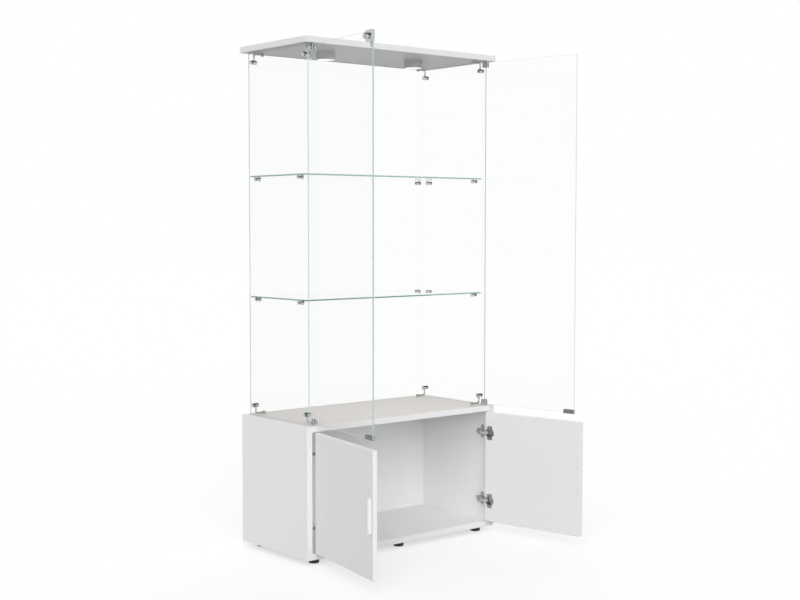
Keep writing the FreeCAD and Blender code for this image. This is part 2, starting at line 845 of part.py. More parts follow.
def hinge_plate():
    side = -inner_x
    top = side + hinge_plate_thickness
    rail = block(side, top, front + hinge_plate_front, front + hinge_plate_back, -hinge_plate_half_height,
                 hinge_plate_half_height)
    wings = block(side, top, front + hinge_wing_front, front + hinge_wing_back, -hinge_wing_half_height,
                  hinge_wing_half_height)
    wings = wings.makeFillet(hinge_wing_round, edges_along(wings, X_DIR))
    return drilled(rail.fuse(wings).removeSplitter(), hinge_plate_bores(0))


def hinge_wing_middle():
    return front + (hinge_wing_front + hinge_wing_back) / 2


def hinge_plate_bores(level):
    top = -inner_x + hinge_plate_thickness
    end = top - screw_grip
    radius = screw_radius + bore_fit
    heights = (level - hinge_screw_rise, level + hinge_screw_rise)
    bores = [rod_x(radius, hinge_wing_middle(), z, end, top) for z in heights]
    return bores + [rod_x(radius, front + hinge_fixing_back, level, end, top)]


def hinge_plate_screws():
    seat = -inner_x + hinge_plate_thickness
    end = seat - screw_grip
    places = [(hinge_wing_middle(), z, seat) for z in (-hinge_screw_rise, hinge_screw_rise)]
    places.append((front + hinge_fixing_back, 0, seat + arm_height))
    screws = []
    for y, z, head_seat in places:
        head = rod_x(screw_head_radius, y, z, head_seat, head_seat + screw_head_height)
        screws.append(head.fuse(rod_x(screw_radius, y, z, end, head_seat)).removeSplitter())
    return screws


# Writing the nodes
def write(name, solids):
    shape = solids[0] if len(solids) == 1 else Part.makeCompound(solids)
    shape.exportStep(os.path.join("parts", name + ".step"))


def write_cabinet():
    side = base_side()
    write("base_side_left", [side])
    write("base_side_right", [mirrored(side)])
    write("base_top", [base_top_panel()])
    write("base_bottom", [base_bottom_panel()])
    write("base_back", [base_back_panel()])
    write("carcass_dowels", dowel_row(dowel_radius))
    write("roof", [roof_panel()])
    for row in foot_rows:
        write(row + "_feet", feet(row))
    write("foot_screws", [foot_screw(x, y) for x in foot_columns for y in foot_rows.values()])


def write_glass_case():
    glass = side_pane()
    write("side_glass_left", [glass])
    write("side_glass_right", [mirrored(glass)])
    write("back_glass", [back_pane()])
    corner_brackets = brackets()
    write("base_brackets", corner_brackets)
    write("roof_brackets", [flipped(shape) for shape in corner_brackets])
    write("bracket_bolts", bracket_bolts())
    write("bracket_screws", bracket_screws())
    for level, rise in shelf_rises.items():
        write(level + "_shelf", [shelf(rise)])
        write(level + "_shelf_pegs", shelf_pegs(rise))
    write("peg_bolts", peg_bolts())


def write_pucks():
    housing = puck_housing()
    lens = puck_lens()
    write("puck_housing_left", [housing])
    write("puck_housing_right", [mirrored(housing)])
    write("puck_lens_left", [lens])
    write("puck_lens_right", [mirrored(lens)])
    write("puck_led_boards", both_sides([led_board()]))
    write("puck_screws", puck_screws())


def write_glass_doors():
    write("pivot_bushes", bushes())
    for name, right in (("left", False), ("right", True)):
        write("glass_door_" + name, [glass_door(right)])
        write(name + "_pivot_clamps", top_and_bottom([pivot_clamp()], right))
        write(name + "_clamp_pads", top_and_bottom(clamp_pads(), right))
        write(name + "_clamp_screws", top_and_bottom([clamp_screw()], right))
        write(name + "_door_clip", [door_clip(right)])
    write("lock_body", [lock_body()])
    write("lock_cylinder", [lock_cylinder()])
    write("lock_cam", [lock_cam()])
    write("lock_nut", [lock_nut()])


def write_base_doors():
    links = [link_pose(shape) for shape in at_hinges(hinge_link())]
    door_nodes = {
        "base_door_{}": [base_door()],
        "{}_handle": [handle()],
        "{}_handle_screws": handle_screws(),
        "{}_hinge_cups": at_hinges(hinge_cup()),
        "{}_cup_screws": [screw for shape in cup_screws() for screw in at_hinges(shape)],
    }
    for name, solids in door_nodes.items():
        hung = [base_door_pose(shape) for shape in solids]
        write(name.format("left"), hung)
        write(name.format("right"), [mirrored(shape) for shape in hung])
    write("left_hinge_links", links)
    write("right_hinge_links", [mirrored(shape) for shape in links])
    write("hinge_arms", both_sides(at_hinges(hinge_arm())))
    write("hinge_plates", both_sides(at_hinges(hinge_plate())))
    plate_screws = [screw for shape in hinge_plate_screws() for screw in at_hinges(shape)]
    write("hinge_plate_screws", both_sides(plate_screws))


os.makedirs("parts", exist_ok=True)
write_cabinet()
write_glass_case()
write_pucks()
write_glass_doors()
write_base_doors()
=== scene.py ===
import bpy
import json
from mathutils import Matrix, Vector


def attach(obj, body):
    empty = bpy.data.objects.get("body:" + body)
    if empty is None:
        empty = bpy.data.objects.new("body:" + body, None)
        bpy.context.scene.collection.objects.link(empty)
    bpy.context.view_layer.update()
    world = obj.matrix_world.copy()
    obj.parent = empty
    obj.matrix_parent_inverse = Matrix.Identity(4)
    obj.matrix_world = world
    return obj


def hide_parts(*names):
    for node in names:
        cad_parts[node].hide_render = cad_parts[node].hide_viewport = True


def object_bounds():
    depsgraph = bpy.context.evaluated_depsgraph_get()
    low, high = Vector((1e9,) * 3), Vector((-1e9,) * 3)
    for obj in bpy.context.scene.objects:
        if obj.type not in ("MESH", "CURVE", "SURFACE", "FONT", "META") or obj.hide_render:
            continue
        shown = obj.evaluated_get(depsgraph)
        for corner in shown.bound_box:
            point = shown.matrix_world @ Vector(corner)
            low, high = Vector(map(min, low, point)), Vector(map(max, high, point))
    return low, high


bl_info = {
    "name": "Glass display cabinet",
    "version": (1, 0, 0),
    "blender": (4, 5, 0),
    "location": "View3D > Sidebar > Cabinet",
    "description": "Finishes and small parts for a glass display cabinet on a white base cupboard",
    "category": "Object",
}

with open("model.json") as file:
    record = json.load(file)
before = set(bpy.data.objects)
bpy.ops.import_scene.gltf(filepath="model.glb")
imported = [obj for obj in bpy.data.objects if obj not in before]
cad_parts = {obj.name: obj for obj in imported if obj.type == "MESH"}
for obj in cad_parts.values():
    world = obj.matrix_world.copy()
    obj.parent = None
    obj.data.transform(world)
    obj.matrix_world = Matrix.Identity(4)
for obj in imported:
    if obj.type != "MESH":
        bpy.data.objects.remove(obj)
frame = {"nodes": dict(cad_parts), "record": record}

import json
import math

import bmesh
import bpy
import numpy as np
from bpy.props import FloatProperty, FloatVectorProperty, IntProperty, PointerProperty
from mathutils import Matrix, Vector

CAD_BOX = [list(corner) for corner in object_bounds()]
NODES = frame["nodes"]
BODIES = frame["record"]["behaviour"]["bodies"]
BODY_OF = {node: body for body, nodes in BODIES.items() for node in nodes}
SIDES = ("left", "right")
UP = (0.0, 0.0, 1.0)
WHITE = (1.0, 1.0, 1.0, 1.0)

# Picture and camera
IMAGE_WIDTH = 800
IMAGE_HEIGHT = 600
SENSOR_WIDTH = 36.0
CAMERA_REACH = 200.0

# Meshes
CREASE_ANGLE = math.radians(32)
MERGE_DISTANCE = 1e-6
FLOOR_CLEARANCE = 0.0002

# Screws: shares of the head's radius or height, of the shank's radius or of the recess's mouth
HEAD_RIM = 0.98
CROWN_RADIUS = 0.72
SHOULDER_RADIUS = 0.93
SHOULDER_DROP = 0.18
RIM_DROP = 0.45
SEAT_DROP = 0.37
POINT_RADIUS = 0.08
RECESS_TAPER = 0.55

# Screw caps, and light chips whose rounding is a share of their height
CAP_STEPS = 8
CAP_SEGMENTS = 32
CHIP_ROUNDING = 0.25
CHIP_ROUND_SEGMENTS = 2

# Melamine: scales of its patterns, depth of its orange peel in metres
MOTTLE_SCALE = 3.0
MOTTLE_TONES = (0.985, 1.015)
GRAIN_SCALE = 260.0
GRAIN_DETAIL = 3.0
GRAIN_ROUGHNESS = 0.05
PEEL_SCALE = 1400.0
PEEL_DEPTH = 0.00006
PEEL_STRENGTH = 0.25
ROOF_COAT_ROUGHNESS = 0.06
ROOF_SPECULAR = 0.25

# Other finishes: tones are shares of the colour, and a plastic's mottle is measured in its grains
METAL_TONES = (0.94, 1.05)
METAL_DETAIL = 3.0
PLASTIC_TONES = (0.9, 1.1)
PLASTIC_MOTTLE = 20.0
PLASTIC_ROUGHNESS = 0.06
PLASTIC_STRENGTH = 0.5
SCREW_TONE = 1.15
# Caps are a darker copy of the board colour: painted shade that offsets the light their domes catch
CAP_PAINTED_SHADE = 0.88
DIFFUSER_TRANSMISSION = 0.35
DIFFUSER_GLOW = 0.4
DOWEL_TONES = (0.75, 1.2)
DOWEL_ROUGHNESS = (0.55, 0.75)
DOWEL_RELIEF = 0.0002

# Glass: a low index keeps its mirroring faint
PANE_IOR = 1.15
SHELF_IOR = 1.003
EDGE_TRANSMISSION = 0.25
EDGE_ROUGHNESS = 0.22
FACING_LIMIT = 0.5

# Mirrored studio: heights over which the panels narrow, and softness of their edges
HORIZON_BAND = (0.1, 0.4)
HORIZON_WIDENING = 1.4
PANEL_EDGE = (0.0, 0.35)

# A ray's count of bounces is above this from its first bounce on
FIRST_BOUNCE = 0.5


# Settings
def colour(name, description, default):
    return FloatVectorProperty(name=name, description=description, default=default, size=3,
                               subtype="COLOR", min=0.0, max=1.0)


def length(name, description, default):
    return FloatProperty(name=name, description=description, default=default, unit="LENGTH", precision=5)


def amount(name, description, default):
    return FloatProperty(name=name, description=description, default=default, subtype="FACTOR",
                         min=0.0, max=1.0)


def positive(name, description, default):
    return FloatProperty(name=name, description=description, default=default, min=0.0)


def angle_of(name, description, default):
    return FloatProperty(name=name, description=description, default=math.radians(default), subtype="ANGLE")


def direction_of(name, description, default):
    return FloatVectorProperty(name=name, description=description, default=default, size=3,
                               subtype="DIRECTION")


class CabinetFinishSettings(bpy.types.PropertyGroup):
    """Colours and surface values of the cabinet's finishes."""

    board_colour: colour("Board", "White melamine of the carcass and the doors", (0.895, 0.893, 0.9))
    roof_colour: colour("Roof", "White melamine of the roof board", (0.85, 0.85, 0.852))
    # Painted light: the colour of the base top's upward face, set apart from its other faces for how light
    # falls on it
    top_colour: colour("Base top", "Slightly warm melamine of the display floor", (0.88, 0.835, 0.795))
    board_roughness: amount("Board roughness", "Gloss of the melamine", 0.42)
    roof_gloss: amount("Roof gloss", "Clear coat on the roof board, which mirrors the lights", 0.1)
    glass_tint: colour("Glass", "Tint of a pane seen through its faces", (0.98, 0.983, 0.983))
    edge_tint: colour("Glass edge", "Sea-green of a polished pane edge", (0.61, 0.82, 0.78))
    shelf_edge_tint: colour("Shelf edge", "Deeper sea-green of the shelves' edges", (0.29, 0.48, 0.46))
    chrome_colour: colour("Chrome", "Plating of the brackets, pegs, clamps and lock", (0.56, 0.565, 0.57))
    clip_colour: colour("Door clips", "Dark grey lacquer of the clips on the glass doors", (0.2, 0.2, 0.2))
    steel_colour: colour("Plated steel", "Nickel plating of the hinges and screws", (0.52, 0.52, 0.53))
    handle_colour: colour("Handle", "Satin aluminium of the door pulls", (0.93, 0.93, 0.93))
    puck_colour: colour("Light housing", "Satin lacquer of the puck lights", (0.84, 0.84, 0.84))
    diffuser_colour: colour("Diffuser", "Frosted plastic of the puck lights", (0.93, 0.93, 0.92))
    phosphor_colour: colour("Light chips", "Yellow phosphor of the light chips", (0.86, 0.72, 0.22))
    foot_colour: colour("Feet", "Moulded black plastic", (0.012, 0.012, 0.013))
    pad_colour: colour("Clamp pads", "Clear grey rubber between clamp and glass", (0.35, 0.37, 0.37))
    bush_colour: colour("Pivot bushes", "White nylon", (0.75, 0.75, 0.74))
    dowel_colour: colour("Dowels", "Bare beech", (0.55, 0.38, 0.23))


class CabinetPartSettings(bpy.types.PropertyGroup):
    """Sizes of the small parts that are added to the frame."""

    recess_arm: length("Recess arm", "Length of a screw's cross recess, as a radius", 0.0019)
    recess_width: length("Recess width", "Width of one arm of the cross recess", 0.0009)
    recess_depth: length("Recess depth", "Depth of the cross recess", 0.0011)
    cap_radius: length("Screw cap", "Radius of a screw cap", 0.0055)
    cap_wall: length("Cap wall", "How far a cap stands above its screw", 0.0006)
    chip_size: length("Light chip", "Width of one light chip", 0.0032)
    chip_height: length("Light chip height", "Height of one light chip", 0.0008)
    chip_ring: length("Light chip ring", "Radius of the ring of light chips", 0.0092)
    chip_count: IntProperty(name="Light chip count", description="Light chips on each ring", default=8,
                            min=3, max=16)


class CabinetStageSettings(bpy.types.PropertyGroup):
    """Light, floor and camera."""

    floor_colour: colour("Floor", "Pale studio floor, as it throws light back", (0.38, 0.38, 0.38))
    floor_lift: amount("Floor lift", "Brightness added to the floor as it is seen", 0.65)
    floor_size: length("Floor size", "Width of the studio floor", 60.0)
    ambient: positive("Ambient", "Soft light from all round", 0.5)
    lamp_spread: angle_of("Lamp spread", "Softness of the three lamps", 55)
    key_strength: positive("Key", "Soft light from the front left", 1.74)
    key_direction: direction_of("Key direction", "Where the key light comes from", (-0.58, -0.60, 0.50))
    fill_strength: positive("Fill", "Soft light from the front", 0.72)
    fill_direction: direction_of("Fill direction", "Where the fill light comes from", (-0.35, -0.93, 0.10))
    back_strength: positive("Back light", "Soft light from behind on the right", 1.0)
    back_direction: direction_of("Back direction", "Where the back light comes from", (0.70, 0.55, 0.30))
    mirrored_panels: IntProperty(name="Mirrored panels", description="Bright panels that metal mirrors",
                                 default=3, min=1, max=12)
    mirrored_turn: angle_of("Mirrored turn", "Direction of the mirrored panels", 35)
    mirrored_dark: amount("Mirrored dark", "Brightness between the mirrored panels", 0.03)
    camera_place: FloatVectorProperty(name="Camera", description="Where the camera stands", size=3,
                                      default=(-3.19473, -3.91016, 1.19505), subtype="TRANSLATION")
    camera_turn: FloatVectorProperty(name="Camera turn", description="How the camera is turned", size=3,
                                     default=[math.radians(turn) for turn in (86.61, 0.03, -39.16)],
                                     subtype="EULER")
    focal_pixels: positive("Focal length", "Focal length in picture pixels", 1342.03)
    centre_x: positive("Centre X", "Picture column of the lens axis", 368.87)
    centre_y: positive("Centre Y", "Picture row of the lens axis", 302.79)


def finishes():
    return bpy.context.scene.cabinet_finishes


def part_sizes():
    return bpy.context.scene.cabinet_parts


def stage_settings():
    return bpy.context.scene.cabinet_stage


# Materials
def opaque(rgb):
    return (rgb[0], rgb[1], rgb[2], 1.0)


def scaled(rgb, factor):
    return tuple(min(1.0, channel * factor) for channel in rgb)


def calculate(tree, operation, first, second=None):
    """A math node's result, whose second value is a number or a socket."""
    node = tree.nodes.new("ShaderNodeMath")
    node.operation = operation
    tree.links.new(first, node.inputs[0])
    if isinstance(second, bpy.types.NodeSocket):
        tree.links.new(second, node.inputs[1])
    elif second is not None:
        node.inputs[1].default_value = second
    return node.outputs["Value"]


def map_range(tree, source, from_range, to_range, interpolation="LINEAR"):
    node = tree.nodes.new("ShaderNodeMapRange")
    node.interpolation_type = interpolation
    node.inputs["From Min"].default_value, node.inputs["From Max"].default_value = from_range
    node.inputs["To Min"].default_value, node.inputs["To Max"].default_value = to_range
    tree.links.new(source, node.inputs["Value"])
    return node.outputs["Result"]


class Finish:
    """A material with one Principled shader, patterned on Object coordinates."""

    def __init__(self, name):
        self.material = bpy.data.materials.new(name)
        self.material.use_nodes = True
        self.tree = self.material.node_tree
        self.shader = self.tree.nodes["Principled BSDF"]
        self.coordinates = self.node("ShaderNodeTexCoord")

    def node(self, kind):
        return self.tree.nodes.new(kind)

    def link(self, source, target):
        self.tree.links.new(source, target)

    def noise(self, scale, detail=2.0, stretch=(1.0, 1.0, 1.0)):
        mapping = self.node("ShaderNodeMapping")
        mapping.inputs["Scale"].default_value = stretch
        texture = self.node("ShaderNodeTexNoise")
        texture.inputs["Scale"].default_value = scale
        texture.inputs["Detail"].default_value = detail
        self.link(self.coordinates.outputs["Object"], mapping.inputs["Vector"])
        self.link(mapping.outputs["Vector"], texture.inputs["Vector"])
        return texture.outputs["Fac"]

    def spread(self, source, low, high, socket):
        """Spreads a pattern from low to high on one of the shader's sockets."""
        self.link(map_range(self.tree, source, (0.0, 1.0), (low, high)), self.shader.inputs[socket])

    def tones(self, source, dark, light):
        mix = self.node("ShaderNodeMix")
        mix.data_type = "RGBA"
        mix.inputs["A"].default_value = opaque(dark)
        mix.inputs["B"].default_value = opaque(light)
        self.link(source, mix.inputs["Factor"])
        self.link(mix.outputs["Result"], self.shader.inputs["Base Color"])

    def shades(self, source, rgb, factors):
        """Tones between two shades of one colour."""
        self.tones(source, scaled(rgb, factors[0]), scaled(rgb, factors[1]))

    def facing(self, direction, test, both_ways=False):
        """1 where the surface looks along direction (GREATER_THAN) or away from it (LESS_THAN)."""
        along = self.node("ShaderNodeVectorMath")
        along.operation = "DOT_PRODUCT"
        along.inputs[1].default_value = direction
        self.link(self.coordinates.outputs["Normal"], along.inputs[0])
        value = along.outputs["Value"]
        if both_ways:
            value = calculate(self.tree, "ABSOLUTE", value)
        return calculate(self.tree, test, value, FACING_LIMIT)

    def relief(self, source, depth, strength=1.0):
        bump = self.node("ShaderNodeBump")
        bump.inputs["Distance"].default_value = depth
        bump.inputs["Strength"].default_value = strength
        self.link(source, bump.inputs["Height"])
        self.link(bump.outputs["Normal"], self.shader.inputs["Normal"])


def melamine(name, rgb, roughness, painted_upward_light_rgb=None):
    """Board with an orange-peel gloss and a faint mottle; an upper colour, when given, takes the mottle's
    place as painted light: the face that looks up gets it, the other faces the plain colour.
    """
    finish = Finish(name)
    if painted_upward_light_rgb is None:
        finish.shades(finish.noise(MOTTLE_SCALE), rgb, MOTTLE_TONES)
    else:
        # Painted light: the face that looks up gets its own colour, the other faces the plain one
        finish.tones(finish.facing(UP, "GREATER_THAN"), rgb, painted_upward_light_rgb)
    grain = finish.noise(GRAIN_SCALE, detail=GRAIN_DETAIL)
    finish.spread(grain, roughness - GRAIN_ROUGHNESS, roughness + GRAIN_ROUGHNESS, "Roughness")
    finish.relief(finish.noise(PEEL_SCALE), PEEL_DEPTH, PEEL_STRENGTH)
    return finish


def metal(name, rgb, roughness, scale, stretch=(1.0, 1.0, 1.0)):
    """Metal whose colour and roughness, from the first to the second value, follow one pattern."""
    finish = Finish(name)
    pattern = finish.noise(scale, detail=METAL_DETAIL, stretch=stretch)
    finish.shader.inputs["Metallic"].default_value = 1.0
    finish.shades(pattern, rgb, METAL_TONES)
    finish.spread(pattern, *roughness, "Roughness")
    return finish


def plastic(name, rgb, roughness, grain_scale, grain_depth):
    """Plastic, lacquer or rubber with a fine moulded grain."""
    finish = Finish(name)
    finish.shades(finish.noise(grain_scale / PLASTIC_MOTTLE), rgb, PLASTIC_TONES)
    grain = finish.noise(grain_scale)
    finish.spread(grain, roughness - PLASTIC_ROUGHNESS, roughness + PLASTIC_ROUGHNESS, "Roughness")
    finish.relief(grain, grain_depth, PLASTIC_STRENGTH)
    return finish


def pane_glass(name, face_normal, edge_tint, ior):
    """Clear float glass whose narrow faces, square to face_normal, show a sea-green polished edge.

    It is clear to shadow rays, and so are the backs of its upright edges, seen from inside the glass.
    """
    finish = Finish(name)
    tree = finish.tree
    edge = finish.facing(face_normal, "LESS_THAN", both_ways=True)
    finish.tones(edge, finishes().glass_tint, edge_tint)
    finish.spread(edge, 1.0, EDGE_TRANSMISSION, "Transmission Weight")
    finish.spread(edge, 0.0, EDGE_ROUGHNESS, "Roughness")
    finish.shader.inputs["IOR"].default_value = ior
    clear = finish.node("ShaderNodeBsdfTransparent")
    clear.inputs["Color"].default_value = opaque(finishes().glass_tint)
    rays = finish.node("ShaderNodeLightPath")
    surface = finish.node("ShaderNodeNewGeometry")
    upright = finish.facing(UP, "LESS_THAN", both_ways=True)
    inner_edge = calculate(tree, "MULTIPLY", edge, surface.outputs["Backfacing"])
    unseen = calculate(tree, "MULTIPLY", inner_edge, upright)
    mix = finish.node("ShaderNodeMixShader")
    finish.link(calculate(tree, "MAXIMUM", rays.outputs["Is Shadow Ray"], unseen), mix.inputs["Fac"])
    finish.link(finish.shader.outputs["BSDF"], mix.inputs[1])
    finish.link(clear.outputs["BSDF"], mix.inputs[2])
    finish.link(mix.outputs["Shader"], tree.nodes["Material Output"].inputs["Surface"])
    return finish


def dress(finish, names):
    """Gives the CAD nodes in names this finish."""
    for name in names:
        slots = NODES[name].data.materials
        slots.clear()
        slots.append(finish.material)


def both(*patterns):
    """Each pattern filled in with left and with right."""
    return [pattern.format(side) for pattern in patterns for side in SIDES]


def widest_normal(node):
    """Normal of a CAD node's largest face."""
    return max(NODES[node].data.polygons, key=lambda face: face.area).normal.copy()


# Shapes
def mesh_piece(name, shape, node, finish):
    """Turns a bmesh into a piece that rides with the body of a CAD node."""
    if not shape.faces:
        raise RuntimeError(f"{name} has no faces")
    bmesh.ops.recalc_face_normals(shape, faces=shape.faces)
    mesh = bpy.data.meshes.new(name)
    shape.to_mesh(mesh)
    shape.free()
    mesh.shade_smooth()
    mesh.set_sharp_from_angle(angle=CREASE_ANGLE)
    mesh.materials.append(finish.material)
    piece = bpy.data.objects.new(name, mesh)
    bpy.context.collection.objects.link(piece)
    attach(piece, BODY_OF[node])
    return piece


def append(shape, other):
    """Adds a bmesh to another one and frees it."""
    mesh = bpy.data.meshes.new("part")
    other.to_mesh(mesh)
    other.free()
    shape.from_mesh(mesh)
    bpy.data.meshes.remove(mesh)


def islands(node):
    """The separate solids of a CAD node, as arrays of points."""
    shape = bmesh.new()
    shape.from_mesh(NODES[node].data)
    bmesh.ops.remove_doubles(shape, verts=shape.verts, dist=MERGE_DISTANCE)
    seen = set()
    groups = []
    for vert in shape.verts:
        if vert in seen:
            continue
        group = [vert]
        seen.add(vert)
        # The group grows while it is walked through, until no neighbour is new
        for member in group:
            others = [edge.other_vert(member) for edge in member.link_edges]
            fresh = [other for other in others if other not in seen]
            seen.update(fresh)
            group.extend(fresh)
        groups.append(np.array([member.co[:] for member in group]))
    shape.free()
    return groups


def screw_measures(points):
    """Place of a screw's head, its direction and its sizes, from the points of its CAD solid."""
    centre = points.mean(axis=0)
    spread, directions = np.linalg.eigh(np.cov((points - centre).T))
    # A slender screw lies along its widest spread, a squat one along its narrowest
    slender = spread[1] - spread[0] < spread[2] - spread[1]
    axis = directions[:, 2 if slender else 0]
    along = (points - centre) @ axis
    radial = np.linalg.norm(points - centre - np.outer(along, axis), axis=1)
    head = along[radial > radial.max() * HEAD_RIM]
    if head.mean() < along.mean():
        axis, along, head = -axis, -along, -head
    return {
        "top": Vector(centre + axis * along.max()),
        "axis": Vector(axis),
        "head_radius": radial.max(),
        "head_height": along.max() - head.min(),
        "shank_radius": radial.min(),
        "length": along.max() - along.min(),
    }


def set_on_screw(shape, part, measures):
    """Adds a part to a bmesh, moved from the origin to a screw's top and turned along the screw."""
    turn = measures["axis"].to_track_quat("Z", "Y").to_matrix().to_4x4()
    bmesh.ops.transform(part, matrix=Matrix.Translation(measures["top"]) @ turn, verts=part.verts)
    append(shape, part)


def in_cross(centre, sizes):
    """Whether a crown's face with this centre belongs to the cross recess."""
    nearest = min(abs(centre.x), abs(centre.y))
    return centre.length < sizes.recess_arm and nearest < sizes.recess_width / 4


def recessed_crown(crown):
    """A round crown with a cross recess, as a bmesh that is open along its rim."""
    sizes = part_sizes()
    half_width = sizes.recess_width / 2
    lines = (-crown, -sizes.recess_arm, -half_width, half_width, sizes.recess_arm, crown)
    last = len(lines) - 1
    screw = bmesh.new()
    bmesh.ops.create_grid(screw, x_segments=last, y_segments=last, size=last / 2)
    for vert in screw.verts:
        column = round(vert.co.x + last / 2)
        row = round(vert.co.y + last / 2)
        vert.co = (lines[column], lines[row], 0.0)
    rim = [vert for vert in screw.verts if vert.is_boundary]
    rim.sort(key=lambda vert: math.atan2(vert.co.y, vert.co.x))
    step = math.tau / len(rim)
    for index, vert in enumerate(rim):
        angle = (index + 0.5) * step - math.pi
        vert.co = (crown * math.cos(angle), crown * math.sin(angle), 0.0)
    cross = [face for face in screw.faces if in_cross(face.calc_center_median(), sizes)]
    sunk = bmesh.ops.extrude_face_region(screw, geom=cross)["geom"]
    floor = [part for part in sunk if isinstance(part, bmesh.types.BMVert)]
    bmesh.ops.delete(screw, geom=cross, context="FACES")
    bmesh.ops.scale(screw, verts=floor, vec=(RECESS_TAPER, RECESS_TAPER, 1.0))
    bmesh.ops.translate(screw, verts=floor, vec=(0.0, 0.0, -sizes.recess_depth))
    return screw


def next_ring(shape, edges, scale, drop):
    """Extrudes a ring of edges, scales the new ring about the axis and lowers it."""
    grown = bmesh.ops.extrude_edge_only(shape, edges=edges)["geom"]
    verts = [part for part in grown if isinstance(part, bmesh.types.BMVert)]
    bmesh.ops.scale(shape, verts=verts, vec=(scale, scale, 1.0))
    bmesh.ops.translate(shape, verts=verts, vec=(0.0, 0.0, -drop))
    return [part for part in grown if isinstance(part, bmesh.types.BMEdge)]


def add_screw(shape, measures):
    """Adds a pan-head screw with a cross recess and a pointed shank to a bmesh."""
    radius = measures["head_radius"]
    height = measures["head_height"]
    shank = measures["shank_radius"]
    shank_length = measures["length"] - height - shank
    profile = (
        (radius * SHOULDER_RADIUS, height * SHOULDER_DROP),
        (radius, height * RIM_DROP),
        (radius, height * SEAT_DROP),
        (shank, 0.0),
        (shank, shank_length),
        (shank * POINT_RADIUS, shank),
    )
    reached = radius * CROWN_RADIUS
    screw = recessed_crown(reached)
    ring = [edge for edge in screw.edges if edge.is_boundary]
    for target, drop in profile:
        ring = next_ring(screw, ring, target / reached, drop)
        reached = target
    bmesh.ops.contextual_create(screw, geom=ring)
    set_on_screw(shape, screw, measures)


def add_cap(shape, measures):
    """Adds a domed cap that covers a screw's head to a bmesh."""
    sizes = part_sizes()
    seat = measures["head_height"]
    cap = bmesh.new()
    profile = []
    for turn in range(CAP_STEPS + 1):
        angle = math.pi / 2 * (1 - turn / CAP_STEPS)
        height = (seat + sizes.cap_wall) * math.sin(angle) - seat
        profile.append(cap.verts.new((sizes.cap_radius * math.cos(angle), 0.0, height)))
    edges = [cap.edges.new(pair) for pair in zip(profile, profile[1:])]
    bmesh.ops.spin(cap, geom=profile + edges, cent=(0.0, 0.0, 0.0), axis=UP, angle=math.tau,
                   steps=CAP_SEGMENTS, use_merge=True)
    bmesh.ops.remove_doubles(cap, verts=cap.verts, dist=MERGE_DISTANCE)
    rim = [edge for edge in cap.edges if edge.is_boundary]
    bmesh.ops.contextual_create(cap, geom=rim)
    set_on_screw(shape, cap, measures)


def add_chips(shape, points):
    """Adds a light chip in the middle of a board, given by its points, and a ring of them round it."""
    sizes = part_sizes()
    middle = (points.min(axis=0) + points.max(axis=0)) / 2
    face = points[:, 2].min()
    places = [(0.0, 0.0, 0.0)]
    for index in range(sizes.chip_count):
        angle = math.tau * index / sizes.chip_count
        places.append((sizes.chip_ring * math.cos(angle), sizes.chip_ring * math.sin(angle), angle))
    for x, y, angle in places:
        chip = bmesh.new()
        bmesh.ops.create_cube(chip, size=1.0)
        size = (sizes.chip_size, sizes.chip_size, sizes.chip_height)
        bmesh.ops.scale(chip, vec=size, verts=chip.verts)
        bmesh.ops.bevel(chip, geom=chip.edges, offset=sizes.chip_height * CHIP_ROUNDING,
                        segments=CHIP_ROUND_SEGMENTS, profile=0.5, affect="EDGES", material=-1)
        place = Vector((middle[0] + x, middle[1] + y, face - sizes.chip_height / 2))
        turn = Matrix.Rotation(angle, 4, "Z")
        bmesh.ops.transform(chip, matrix=Matrix.Translation(place) @ turn, verts=chip.verts)
        append(shape, chip)


# Operators
class CABINET_OT_boards(bpy.types.Operator):
    """Gives the carcass, the doors and the roof their white melamine"""

    bl_idname = "cabinet.boards"
    bl_label = "Boards"

    def execute(self, context):
        settings = finishes()
        white = melamine("white_melamine", settings.board_colour, settings.board_roughness)
        dress(white, both("base_side_{}", "base_door_{}") + ["base_bottom", "base_back"])
        # Painted light on the display floor: the base top's upward face gets a colour of its own
        warm = melamine("display_floor_melamine_painted_top_light", settings.board_colour, settings.board_roughness,
                        painted_upward_light_rgb=settings.top_colour)
        dress(warm, ["base_top"])
        gloss = melamine("roof_melamine", settings.roof_colour, settings.board_roughness)
        gloss.shader.inputs["Coat Weight"].default_value = settings.roof_gloss
        gloss.shader.inputs["Coat Roughness"].default_value = ROOF_COAT_ROUGHNESS
        gloss.shader.inputs["Specular IOR Level"].default_value = ROOF_SPECULAR
        dress(gloss, ["roof"])
        return {"FINISHED"}


class CABINET_OT_glass(bpy.types.Operator):
    """Gives each pane, shelf and glass door clear glass with sea-green edges"""

    bl_idname = "cabinet.glass"
    bl_label = "Glass"

    def execute(self, context):
        panes = both("side_glass_{}", "glass_door_{}") + ["back_glass"]
        self.glaze(panes, finishes().edge_tint, PANE_IOR)
        self.glaze(["upper_shelf", "lower_shelf"], finishes().shelf_edge_tint, SHELF_IOR)
        return {"FINISHED"}

    def glaze(self, nodes, edge_tint, ior):
        for node in nodes:
            dress(pane_glass(node + "_clear", widest_normal(node), edge_tint, ior), [node])


class CABINET_OT_chrome(bpy.types.Operator):
    """Plates the brackets, shelf pegs, clamps and lock, and lacquers the door clips"""

    bl_idname = "cabinet.chrome"
    bl_label = "Chrome fittings"

    def execute(self, context):
        plating = metal("chrome_plating", finishes().chrome_colour, roughness=(0.05, 0.13), scale=90.0)
        dress(plating, ["base_brackets", "roof_brackets", "bracket_bolts"])
        dress(plating, ["upper_shelf_pegs", "lower_shelf_pegs", "peg_bolts"])
        dress(plating, ["lock_body", "lock_cylinder"] + both("{}_pivot_clamps"))
        satin = plastic("clip_lacquer", finishes().clip_colour, roughness=0.38, grain_scale=900.0,
                        grain_depth=0.00003)
        dress(satin, both("{}_door_clip"))
        return {"FINISHED"}


